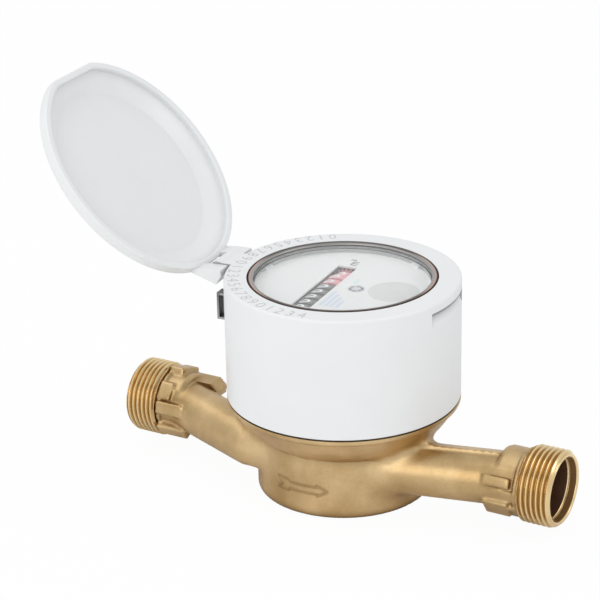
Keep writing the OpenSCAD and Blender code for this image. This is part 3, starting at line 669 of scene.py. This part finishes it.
def ridge_distance(x, y, z):
    """Flat parting ridge that leans over the top of the outlet neck."""
    lean = math.radians(-18)
    dx, dy = x - OUTLET_END[0], y - OUTLET_END[1]
    along = dx * math.cos(OUTLET_SKEW) + dy * math.sin(OUTLET_SKEW)
    across = -dx * math.sin(OUTLET_SKEW) + dy * math.cos(OUTLET_SKEW)
    side = across * math.cos(lean) + (z - PIPE_Z) * math.sin(lean)
    up = -across * math.sin(lean) + (z - PIPE_Z) * math.cos(lean)
    return box_distance(along, side, up, (22.0, 0.0, 4.6), (22.5, 3.6, 4.6), 0.3)


def seal_lug_distance(x, y, z):
    """Lug behind the inlet neck, with a chamfered end."""
    left, right, top, nose = -66.0, -52.0, PIPE_Z + 8.6, 2.6
    outline = [
        (left, PIPE_Z), (left, top), (right - nose, top), (right, top - nose),
        (right - 0.6, top - 2 * nose), (right - 2 * nose, PIPE_Z),
    ]
    side = polygon_distance(x, z, outline)
    return np.maximum(side, np.abs(y - 4.5) - 3.5)


def surface_net(distance, low, high, pitch):
    """Quads where a field of distances is zero, with their corners moved onto the surface."""
    axes = [np.arange(a, b + pitch, pitch) for a, b in zip(low, high)]
    shape = tuple(len(a) for a in axes)
    grid = np.stack(np.meshgrid(*axes, indexing="ij"), -1).reshape(-1, 3)
    field = distance(grid).reshape(shape)
    inside = field < 0
    corner = [inside[i:shape[0] - 1 + i, j:shape[1] - 1 + j, k:shape[2] - 1 + k]
              for i in (0, 1) for j in (0, 1) for k in (0, 1)]
    count = sum(c.astype(np.int8) for c in corner)
    mixed = (count > 0) & (count < 8)
    number = np.full(mixed.shape, -1)
    number[mixed] = np.arange(mixed.sum())
    points = np.argwhere(mixed) * pitch + np.array(low) + pitch / 2
    for _ in range(4):
        points = points - pull(distance, points, pitch * 0.2)
    return points, net_faces(inside, number)


def pull(distance, points, reach):
    """Step from each point towards the surface."""
    slope = np.stack(
        [(distance(points + reach * e) - distance(points - reach * e)) / (2 * reach) for e in np.eye(3)], 1
    )
    steep = np.maximum((slope ** 2).sum(1), 0.25)
    return np.clip((distance(points) / steep)[:, None] * slope, -reach * 3, reach * 3)


def net_faces(inside, number):
    """One quad round each grid edge that crosses the surface."""
    faces = []
    for axis in range(3):
        u, v = [a for a in range(3) if a != axis]
        near = np.take(inside, range(inside.shape[axis] - 1), axis)
        far = np.take(inside, range(1, inside.shape[axis]), axis)
        at = np.argwhere(near != far)
        keep = (at[:, u] > 0) & (at[:, v] > 0)
        keep &= (at[:, u] < number.shape[u]) & (at[:, v] < number.shape[v])
        at = at[keep]
        outward = near[tuple(at.T)]
        ring = []
        for du, dv in ((1, 1), (0, 1), (0, 0), (1, 0)):
            cell = at.copy()
            cell[:, u] -= du
            cell[:, v] -= dv
            ring.append(number[tuple(cell.T)])
        quad = np.stack(ring, 1)
        flip = outward if axis != 1 else ~outward
        quad[~flip] = quad[~flip][:, ::-1]
        faces.append(quad)
    return np.concatenate(faces)


def make_casting():
    """The casting in place of its solid, and its rim."""
    points, faces = surface_net(casting_distance, (-71.2, -40.3, -0.9), (71.2, 40.3, 37.3), 0.65)
    casting = add_piece("casting", points, faces, CAST, slot="cast_brass", sharp=60.0)
    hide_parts("meter_body")
    make_rim()


def make_rim():
    """Turned edge of the casting under the housing."""
    outline = [
        (RIM_R - 1.6, FLARE_TOP_Z - 0.4), (RIM_R - 1.0, FLARE_TOP_Z), (RIM_R - 0.15, RIM_Z - 1.3),
        (RIM_R, RIM_Z - 1.0), (RIM_R, RIM_Z), (RIM_R - 0.15, RIM_Z + 0.1), (RIM_R - 0.9, RIM_Z + 0.1),
        (RIM_R - 1.4, RIM_Z - 0.02), (RIM_R - 2.2, RIM_Z - 0.02), (RIM_R - 2.2, FLARE_TOP_Z - 0.4),
    ]
    turns = np.linspace(0, 2 * math.pi, 240, endpoint=False)
    points = [(r * math.cos(t), r * math.sin(t), z) for r, z in outline for t in turns]
    add_piece("casting_rim", points, ring_faces(len(outline), len(turns)), CAST, slot="cast_brass")


def ring_faces(rows, turns):
    """Quads of a closed ring whose rows follow each other round its section."""
    faces = []
    for a in range(rows):
        b = (a + 1) % rows
        for i in range(turns):
            j = (i + 1) % turns
            faces.append((a * turns + i, a * turns + j, b * turns + j, b * turns + i))
    return faces


# Threads


def thread_radius(x, turn):
    """Radius of the thread at a place along it, with rounded crests and roots."""
    phase = (x / THREAD_PITCH - turn / (2 * math.pi)) % 1.0
    wave = 1 - 4 * abs(phase - 0.5)
    crest = wave * (1.32 - 0.32 * wave * wave)
    middle = (THREAD_R + THREAD_ROOT_R) / 2
    radius = middle + (THREAD_R - THREAD_ROOT_R) / 2 * crest
    runout = THREAD_ROOT_R + 0.25 + (x - THREAD_X) * (THREAD_R - THREAD_ROOT_R) / THREAD_RUNOUT
    nose = THREAD_R - 0.15 - (x - (END_X - THREAD_CHAMFER)) * 0.95
    return min(radius, max(runout, THREAD_ROOT_R), nose)


def passage_y(x):
    """Where the middle of the skewed outlet passage lies."""
    return (x - THREAD_X) * math.tan(OUTLET_SKEW)


def make_outlet_bore():
    """Dark lining of the outlet's bore, which narrows and then follows the skewed passage."""
    wall = 0.12
    front = END_X - MOUTH_DEPTH - 0.4
    inner_step, outer_step = BORE_END_X + 0.4, BORE_END_X + 0.1
    back = THREAD_X - 22.0
    rows = [
        (front, OUTLET_SEAT_R - wall), (THREAD_X, BORE_R - wall), (inner_step, BORE_R - wall),
        (inner_step, PORT_R - wall, passage_y(inner_step)), (back, PORT_R - wall, passage_y(back)),
        (back, PORT_R - LINING_GAP, passage_y(back)),
        (outer_step, PORT_R - LINING_GAP, passage_y(outer_step)), (outer_step, BORE_R - LINING_GAP),
        (THREAD_X, BORE_R - LINING_GAP), (front, OUTLET_SEAT_R - LINING_GAP),
    ]
    revolve_rows("outlet_bore", 1, rows, 96, PATINA)


def make_outlet_mouth():
    """Stained lining of the outlet's gasket seat."""
    inner = OUTLET_MOUTH_R - 0.08
    outer = OUTLET_MOUTH_R - LINING_GAP
    front, back = END_X - 0.5, END_X - MOUTH_DEPTH + 0.25
    rows = [(front, inner), (back, inner), (back, outer), (front, outer)]
    revolve_rows("outlet_mouth", 1, rows, 96, STAINED)


def make_thread(name, side, mouth_r, seat_r):
    """One threaded end with its gasket seat and bore."""
    rows = [(x, None) for x in np.linspace(THREAD_X, END_X, 200)]
    mouth_x = END_X - MOUTH_DEPTH
    rows += [
        (END_X, mouth_r + 0.3), (END_X - 0.3, mouth_r), (mouth_x + 0.1, mouth_r), (mouth_x, mouth_r - 0.1),
        (mouth_x, seat_r + 0.2), (mouth_x - 0.2, seat_r), (THREAD_X - 0.03, BORE_R),
    ]
    revolve_rows(name, side, rows, 192, TURNED)


def revolve_rows(name, side, rows, turns, material):
    """A closed ring round the pipe from rows of x, radius and, off the pipe's axis, y.

    Rows without a radius are thread.
    """
    points = []
    for x, fixed, *aside in rows:
        middle = aside[0] if aside else 0.0
        for i in range(turns):
            turn = 2 * math.pi * i / turns
            radius = fixed or thread_radius(x, turn)
            y = middle + side * radius * math.cos(turn)
            points.append((side * x, y, PIPE_Z + radius * math.sin(turn)))
    faces = []
    for a in range(len(rows)):
        b = (a + 1) % len(rows)
        for i in range(turns):
            j = (i + 1) % turns
            faces.append((a * turns + i, b * turns + i, b * turns + j, a * turns + j))
    add_piece(name, points, faces, material, slot="turned_brass", sharp=75.0)


# Marks on the casting, the dial and the housing


def on_bowl(turn, level, proud):
    """Puts a flat mark on the side of the bowl, with its own right along +X where it faces the camera."""
    def place(u, v, w):
        angle = math.radians(turn) + u / BOWL_R
        radius = BOWL_R + w + proud
        return radius * math.cos(angle), radius * math.sin(angle), level + v
    return place


def ribbon(path, half_w, low, high):
    """Points and faces of a raised line along a closed path, with sloping sides."""
    corners = np.array(path)
    steps = []
    for a, b in zip(corners, np.roll(corners, -1, 0)):
        count = max(2, round(math.dist(a, b) / 0.5))
        steps.extend(a + (b - a) * i / count for i in range(count))
    line = np.array(steps)
    ahead = np.roll(line, -1, 0) - np.roll(line, 1, 0)
    ahead /= np.linalg.norm(ahead, axis=1)[:, None]
    across = np.stack([-ahead[:, 1], ahead[:, 0]], 1)
    points = []
    for p, n in zip(line, across):
        for side, level in ((1.0, low), (0.5, high), (-0.5, high), (-1.0, low)):
            u, v = p + n * side * half_w
            points.append((u, v, level))
    faces = []
    count = len(line)
    for i in range(count):
        j = (i + 1) % count
        for k in range(4):
            m = (k + 1) % 4
            faces.append((4 * i + k, 4 * i + m, 4 * j + m, 4 * j + k))
    return points, faces


def make_arrow():
    """Raised outline of a fletched arrow along the flow."""
    outline = [
        (-10.0, 2.1), (-5.5, 2.1), (-4.4, 1.25), (5.6, 1.25), (5.6, 2.0), (9.4, 0.0),
        (5.6, -2.0), (5.6, -1.25), (-4.4, -1.25), (-5.5, -2.1), (-10.0, -2.1), (-7.8, 0.0),
    ]
    arrow = Solid()
    arrow.take(ribbon(outline, 0.62, -0.12, 0.2), on_bowl(-90.0, 9.9, 0.0))
    arrow.piece("flow_arrow", MARK, slot="cast_brass")


def on_head(x, y, z):
    """A point of the register or the lid, turned with them on the casting."""
    c, s = math.cos(HEAD_TURN), math.sin(HEAD_TURN)
    return x * c - y * s, x * s + y * c, z


def band_radius(roller):
    """The first roller runs close above the crown wheel that drives it, so its band is lower."""
    return FIRST_BAND_R if roller == 1 else BAND_R


def number_place(roller, digit):
    """Puts a digit on its roller: right is +Y and up is -X for a reader at the thumb recess."""
    left = STACK_Y + STACK_HALF - roller * ROLLER_PITCH
    middle = left + (ROLLER_PITCH - CARRY_GEAR_W) / 2
    turn = -math.radians(36) * digit
    band_r = band_radius(roller)

    def place(u, v, w):
        angle = turn + (v + DIGIT_RISE) / band_r
        radius = band_r + w + PRINT_T / 2 - 0.01
        return on_head(ROLLER_X - radius * math.sin(angle), middle + u, ROLLER_Z + radius * math.cos(angle))
    return place


def make_bands():
    """Raised band round each roller that carries its numbers."""
    turns = np.linspace(0, 2 * math.pi, 96, endpoint=False)
    for roller in range(1, ROLLER_COUNT + 1):
        low = STACK_Y + STACK_HALF - roller * ROLLER_PITCH + 0.1
        high = low + ROLLER_PITCH - CARRY_GEAR_W - 0.2
        band_r = band_radius(roller)
        section = [(ROLLER_R - 0.1, low), (ROLLER_R - 0.1, high), (band_r, high), (band_r, low)]
        points = [
            on_head(ROLLER_X - r * math.sin(t), y, ROLLER_Z + r * math.cos(t))
            for r, y in section
            for t in turns
        ]
        red = roller <= RED_ROLLERS
        add_piece(
            "band_%d" % roller, points, ring_faces(len(section), len(turns)), RED if red else BLACK,
            body="roller_%d" % roller, slot="roller_red" if red else "roller_black",
        )


def make_digits():
    """Ten raised numbers round each roller."""
    for roller in range(1, ROLLER_COUNT + 1):
        digits = Solid()
        for digit in range(10):
            digits.take(lettering(str(digit), DIGIT_H, bold=0.2), number_place(roller, digit))
        slot = "roller_red" if roller <= RED_ROLLERS else "roller_black"
        digits.piece("digits_%d" % roller, WHITE_INK, body="roller_%d" % roller, slot=slot)


def on_level(x, y, level, turn=0.0):
    """Puts a flat mark on a level face of the register, with its right turned from +X by an angle."""
    c, s = math.cos(math.radians(turn)), math.sin(math.radians(turn))

    def place(u, v, w):
        return on_head(x + u * c - v * s, y + u * s + v * c, level + w + PRINT_T / 2 - 0.01)
    return place


def bar(length, width):
    u, v = length / 2, width / 2
    return [(-u, -v), (u, -v), (u, v), (-u, v)]


def make_dial_print():
    """Unit, disc and fields of colour on the dial plate."""
    grey = Solid()
    grey.take(lettering("m³", 3.6, bold=0.06), on_level(-4.3, 19.6, DIAL_TOP, 90.0))
    grey.piece("dial_marks", GREY_INK, slot="dial_white")
    pale = Solid()
    pale.take(plate([circle(8.7)]), on_level(18.4, 0.6, DIAL_TOP))
    pale.take(plate([circle(3.2, steps=40), circle(2.75, steps=40)]), on_level(*STAR_AT, DIAL_TOP))
    pale.piece("dial_disc", PALE_INK, slot="dial_white")
    blue = Solid()
    for row in range(4):
        length = 13.0 - row * 2.2
        place = on_level(0.6 + row * 1.9, -19.5 + length / 2, DIAL_TOP, 90.0)
        blue.take(plate([bar(length, 1.25)]), place)
    blue.piece("dial_lines", BLUE_INK, slot="dial_white")
    green = Solid()
    green.take(plate([bar(4.4, 1.6)]), on_level(3.3, 4.3, DIAL_TOP, 90.0))
    green.piece("dial_patch", GREEN_INK, slot="dial_white")


def make_rim_numbers():
    """A scale of plain numbers round the top of the housing."""
    marks = Solid()
    radius = 37.0
    for i, turn in enumerate(np.arange(120.0, 277.0, 6.4)):
        middle = radius * np.array([math.cos(math.radians(turn)), math.sin(math.radians(turn))])
        place = on_level(middle[0], middle[1], HOUSING_TOP, turn + 90.0)
        marks.take(lettering(str(i % 10), 4.2, bold=-0.07), place)
    marks.piece("rim_numbers", RIM_INK, slot="white_shell")


def make_recess_lip():
    """Grey strip under the ceiling of the thumb recess, a painted shadow for the dark line the photo shows
    there.
    """
    section = [
        (HOUSING_R - 2.2, -0.9), (HOUSING_R - 0.35, -0.9), (HOUSING_R - 0.15, -0.7),
        (HOUSING_R - 0.15, 0.0), (HOUSING_R - 2.2, 0.0),
    ]
    turns = np.linspace(-RECESS_HALF, RECESS_HALF, 40)
    points = []
    for turn in turns:
        for r, drop in section:
            points.append(on_head(r * math.cos(turn), r * math.sin(turn), RECESS_TOP - 0.01 + drop))
    count = len(section)
    faces = [tuple(reversed(range(count))), tuple(range((len(turns) - 1) * count, len(turns) * count))]
    for i in range(len(turns) - 1):
        for k in range(count):
            m = (k + 1) % count
            faces.append((i * count + k, i * count + m, (i + 1) * count + m, (i + 1) * count + k))
    add_piece("recess_shadow", points, faces, SHADOW_GREY, slot="white_shell")


# The lid


def opened(x, y, z):
    """A point of the shut lid where it lies with the lid open."""
    c, s = math.cos(LID_OPEN), math.sin(LID_OPEN)
    dx, dz = x - HINGE_X, z - HINGE_Z
    return on_head(HINGE_X + dx * c - dz * s, y, HINGE_Z + dx * s + dz * c)


def rounded(corners, steps=5):
    """An open outline of (u, v, radius) corners with arcs at those that have a radius."""
    outline = []
    for i, (u, v, radius) in enumerate(corners):
        here = np.array((u, v))
        if not radius:
            outline.append(here)
            continue
        before = np.array(corners[i - 1][:2]) - here
        after = np.array(corners[i + 1][:2]) - here
        before /= np.linalg.norm(before)
        after /= np.linalg.norm(after)
        half = math.acos(np.clip(before @ after, -1, 1)) / 2
        start = here + before * radius / math.tan(half)
        end = here + after * radius / math.tan(half)
        middle = here + (before + after) / np.linalg.norm(before + after) * radius / math.sin(half)
        for k in range(steps + 1):
            arm = (start - middle) * (1 - k / steps) + (end - middle) * k / steps
            outline.append(middle + arm / np.linalg.norm(arm) * radius)
    return outline


def lid_radius(radius, turn, inset):
    """Radius that stays behind the flat across the lid's edge."""
    c = math.cos(turn)
    return min(radius, (FLAT_X - inset) / c) if c > 0.5 else radius


def make_lid():
    """Dish with a sloping band round its flat middle, and the two cheeks of its hinge."""
    skirt_in = LID_R - SKIRT_W
    corners = [
        (0.0, LID_TOP, 0), (LID_DISC_R + 1.0, LID_TOP, 4.0), (LID_R, LID_LOW + SKIRT_H, 1.3),
        (LID_R, LID_LOW, 0.35), (skirt_in, LID_LOW, 0.45), (skirt_in, LID_LOW + WELL_H, 0.5),
        (LID_DISC_R, LID_UNDER, 3.0), (0.0, LID_UNDER, 0),
    ]
    outline = rounded(corners)
    turns = np.linspace(0, 2 * math.pi, 240, endpoint=False)
    rings = outline[1:-1]
    points = []
    for radius, level in rings:
        inset = max(0.0, LID_R - radius) if radius > skirt_in - 0.5 else SKIRT_W
        for turn in turns:
            r = lid_radius(radius, turn, inset)
            points.append(opened(r * math.cos(turn), r * math.sin(turn), level))
    count = len(turns)
    faces = []
    for a in range(len(rings) - 1):
        for i in range(count):
            j = (i + 1) % count
            faces.append((a * count + i, (a + 1) * count + i, (a + 1) * count + j, a * count + j))
    faces.append(tuple(range(count)))
    faces.append(tuple(reversed(range((len(rings) - 1) * count, len(rings) * count))))
    lid = add_piece("lid_shell", points, faces, LID, body="lid", slot="white_shell", sharp=50.0)
    cheeks = Solid()
    for middle in (-1, 1):
        cheeks.take(hinge_cheek(), cheek_place(middle * (HINGE_HALF_W + HINGE_GAP_HALF_W) / 2))
    arms = cheeks.piece("lid_cheeks", LID, body="lid", slot="white_shell")
    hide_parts("lid")
    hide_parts("lid")


def hinge_cheek():
    """Triangular cheek as a thick plate, its outline measured from the hinge axis."""
    edge = -HINGE_X - LID_R
    low = LID_LOW - HINGE_Z
    reach = 4.5
    outline = [
        (0.75 - reach, -0.1), (edge + 2.1, low + 2.7), (edge + 2.1, low + 0.4),
        (edge + 1.2, low + 0.2), (edge - 0.4, 0.3),
    ]
    outline += [(reach * math.cos(t), reach * math.sin(t)) for t in np.radians((255.0, 244.0, 233.0))]
    bevel = 0.15
    return plate([outline], HINGE_HALF_W - HINGE_GAP_HALF_W - 2 * bevel, bevel)


def cheek_place(y):
    def place(u, v, w):
        return opened(HINGE_X + u, y + w, HINGE_Z + v)
    return place


# Stage, lamps and camera


def make_floor():
    half = 3.0
    mesh = bpy.data.meshes.new("floor")
    corners = [(-half, -half), (half, -half), (half, half), (-half, half)]
    mesh.from_pydata([(x, y, -0.0003) for x, y in corners], [], [(0, 1, 2, 3)])
    tree = Tree(bpy.data.materials.new("floor"))
    white = tree.add("ShaderNodeEmission")
    matt = tree.surface(None, None, None, Base_Color=(0.86, 0.86, 0.86, 1.0), Roughness=0.9)
    share = tree.add("ShaderNodeMath", operation="MULTIPLY")
    share.inputs[1].default_value = 0.96
    tree.join(seen_directly(tree), share.inputs[0])
    both = tree.add("ShaderNodeMixShader")
    tree.join(share.outputs["Value"], both.inputs["Fac"])
    tree.join(matt, both.inputs[1])
    tree.join(white.outputs["Emission"], both.inputs[2])
    mesh.materials.append(tree.finish(both.outputs["Shader"]))
    floor = bpy.data.objects.new("floor", mesh)
    bpy.context.scene.collection.objects.link(floor)


def seen_directly(tree):
    """One for rays from the camera and through glass, and zero for the others."""
    path = tree.add("ShaderNodeLightPath")
    either = tree.add("ShaderNodeMath", operation="MAXIMUM")
    tree.join(path.outputs["Is Camera Ray"], either.inputs[0])
    tree.join(path.outputs["Is Transmission Ray"], either.inputs[1])
    return either.outputs["Value"]


def make_world():
    world = bpy.data.worlds.new("studio")
    bpy.context.scene.world = world
    tree = Tree(world)
    dim = tree.add("ShaderNodeBackground")
    dim.inputs["Color"].default_value = (0.97, 0.985, 1.0, 1.0)
    dim.inputs["Strength"].default_value = 0.80
    white = tree.add("ShaderNodeBackground")
    white.inputs["Color"].default_value = (1.0, 1.0, 1.0, 1.0)
    white.inputs["Strength"].default_value = 1.0
    both = tree.add("ShaderNodeMixShader")
    tree.join(seen_directly(tree), both.inputs["Fac"])
    tree.join(dim.outputs["Background"], both.inputs[1])
    tree.join(white.outputs["Background"], both.inputs[2])
    tree.finish(both.outputs["Shader"], "ShaderNodeOutputWorld")


def add_lamp(name, place, target, size, power):
    lamp = bpy.data.lights.new(name, "AREA")
    lamp.shape = "RECTANGLE"
    lamp.size, lamp.size_y = size
    lamp.energy = power
    holder = bpy.data.objects.new(name, lamp)
    bpy.context.scene.collection.objects.link(holder)
    holder.location = place
    holder.rotation_euler = (Vector(target) - Vector(place)).to_track_quat("-Z", "Y").to_euler()


def make_lamps():
    middle = (0.0, 0.0, 0.045)
    add_lamp("key", (0.15, -1.05, 0.50), middle, (1.0, 0.8), 3.2)
    add_lamp("strip", (0.80, 0.20, 0.68), middle, (0.4, 0.4), 1.0)
    add_lamp("top", (-0.55, -0.10, 0.95), middle, (0.8, 0.8), 1.9)


# Camera fitted to the photograph, in millimetres
CAMERA_AT = (353.49, -632.19, 365.18)
CAMERA_LOOK = (-0.467391, 0.798141, -0.380153)
CAMERA_ROLL = math.radians(-1.083)
CAMERA_LENS = 139.58


def make_camera():
    """Camera at the photograph's viewing angle."""
    look = Vector(CAMERA_LOOK).normalized()
    right = look.cross(Vector((0, 0, 1))).normalized()
    up = right.cross(look)
    c, s = math.cos(CAMERA_ROLL), math.sin(CAMERA_ROLL)
    rolled_right = c * right + s * up
    rolled_up = c * up - s * right
    data = bpy.data.cameras.new("camera")
    data.lens = CAMERA_LENS
    data.sensor_width = 36.0
    data.clip_start = 0.01
    camera = bpy.data.objects.new("camera", data)
    bpy.context.scene.collection.objects.link(camera)
    turn = Matrix((rolled_right, rolled_up, -look)).transposed().to_4x4()
    camera.matrix_world = Matrix.Translation(Vector(CAMERA_AT) * MM) @ turn
    bpy.context.scene.camera = camera


bpy.context.scene.view_settings.view_transform = "Standard"
dress_cad_nodes()
make_camera()
make_world()
make_floor()
make_lamps()
make_casting()
make_thread("inlet_thread", -1, INLET_MOUTH_R, BORE_R)
make_thread("outlet_thread", 1, OUTLET_MOUTH_R, OUTLET_SEAT_R)
make_outlet_mouth()
make_outlet_bore()
make_lid()
make_arrow()
make_bands()
make_digits()
make_dial_print()
make_rim_numbers()
make_recess_lip()
